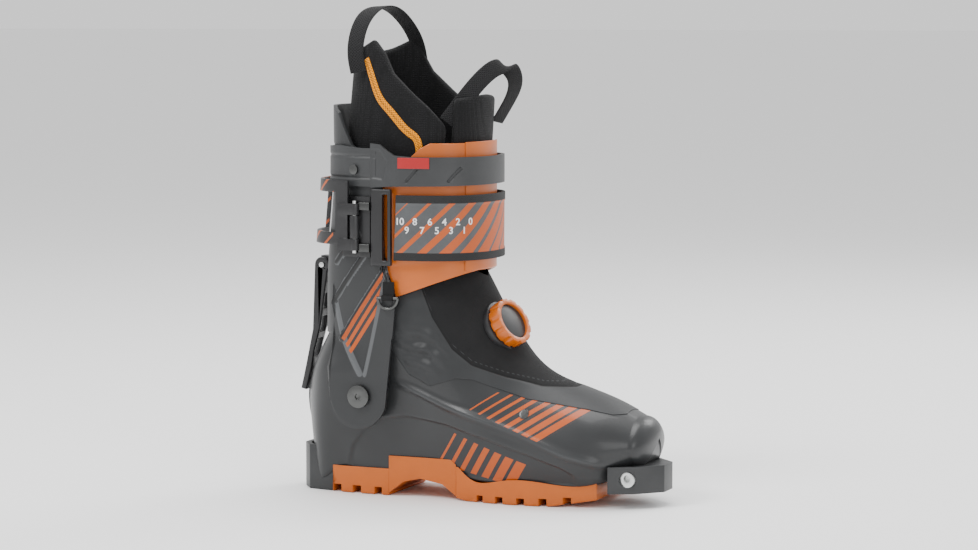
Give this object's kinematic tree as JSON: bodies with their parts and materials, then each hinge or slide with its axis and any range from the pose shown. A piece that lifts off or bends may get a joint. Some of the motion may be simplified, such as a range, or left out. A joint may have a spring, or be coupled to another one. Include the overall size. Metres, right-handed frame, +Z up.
{
  "type": "alpine touring ski boot",
  "caption": "Ski touring boot for the right foot: hard shell with a hinged cuff, rear lock lever, buckled wide strap, lace dial, padded liner and lugged sole.",
  "frame": {"origin": "on the ground, under the middle of the heel tread, in the boot's middle plane", "axes": "+X to the toe, +Y to the inner side of the foot, +Z up"},
  "size_m": [0.296, 0.1167, 0.3665],
  "materials": {
    "shell_carbon": "satin carbon-filled nylon",
    "shell_plastic": "matt moulded nylon",
    "buckle_plastic": "matt moulded nylon",
    "orange_plastic": "satin orange plastic",
    "orange_rubber": "matt orange rubber",
    "strap_plastic": "flexible matt plastic",
    "strap_fabric": "woven hook-and-loop strap",
    "webbing": "woven webbing",
    "liner_fabric": "soft foam liner with knitted face",
    "gaiter_fabric": "coated stretch fabric",
    "steel": "bare steel",
    "dark_metal": "blackened metal"
  },
  "bodies": {
    "boot": {"lower_shell": "shell_carbon", "gaiter_instep": "gaiter_fabric", "gaiter_ankle": "gaiter_fabric", "toe_ledge": "shell_plastic", "toe_fitting_outer": "steel", "toe_fitting_inner": "steel", "sole_heel": "orange_rubber", "sole_arch": "orange_rubber", "sole_forefoot": "orange_rubber", "heel_block": "shell_plastic", "heel_fitting": "steel", "heel_screw": "steel", "pivot_bolt_outer": "dark_metal", "pivot_bolt_inner": "dark_metal", "pivot_bush_outer": "shell_plastic", "pivot_bush_inner": "shell_plastic", "toe_rivet_outer": "dark_metal", "toe_rivet_inner": "dark_metal", "heel_catch": "steel", "footbed": "liner_fabric", "liner_foot": "liner_fabric", "dial_base": "shell_plastic"},
    "cuff": {"liner_shaft": "liner_fabric", "liner_tongue": "liner_fabric", "cuff_shell": "shell_carbon", "tongue_plate": "orange_plastic", "upper_strap": "strap_plastic", "cuff_collar": "strap_plastic", "wide_strap": "strap_fabric", "strap_frame": "shell_plastic", "buckle_base": "buckle_plastic", "buckle_pin": "steel", "buckle_hooks": "dark_metal", "lever_lug": "shell_plastic", "lever_pin": "steel", "ring_tab": "strap_fabric", "cuff_rivets": "dark_metal", "heel_loop": "webbing", "tongue_loop": "webbing"},
    "buckle_lever": {"buckle_lever": "buckle_plastic"},
    "walk_lever": {"walk_lever": "buckle_plastic"},
    "dial": {"dial_knob": "orange_plastic", "dial_face": "shell_plastic"},
    "leash_ring": {"leash_ring": "dark_metal"}
  },
  "joints": [
    {"name": "cuff_flex", "type": "hinge", "parent": "boot", "child": "cuff", "pos_m": [0.017, 0, 0.076], "axis": [0, 1, 0], "range_deg": [-20, 10], "deforming": ["gaiter_ankle"]},
    {"name": "buckle_swing", "type": "hinge", "parent": "cuff", "child": "buckle_lever", "pos_m": [0.016, -0.05635, 0.2035], "axis": [0, 0, 1], "range_deg": [0, 105]},
    {"name": "walk_lever_swing", "type": "hinge", "parent": "cuff", "child": "walk_lever", "pos_m": [-0.034, 0, 0.17], "axis": [0, 1, 0], "range_deg": [0, 90]},
    {"name": "dial_turn", "type": "hinge", "parent": "boot", "child": "dial", "pos_m": [0.116, -0.009, 0.128], "axis": [0.8555, -0.2079, 0.4742], "continuous": true},
    {"name": "ring_swing", "type": "hinge", "parent": "cuff", "child": "leash_ring", "pos_m": [0.042, -0.0546, 0.151], "axis": [1, 0, 0], "range_deg": [-60, 0]}
  ]
}
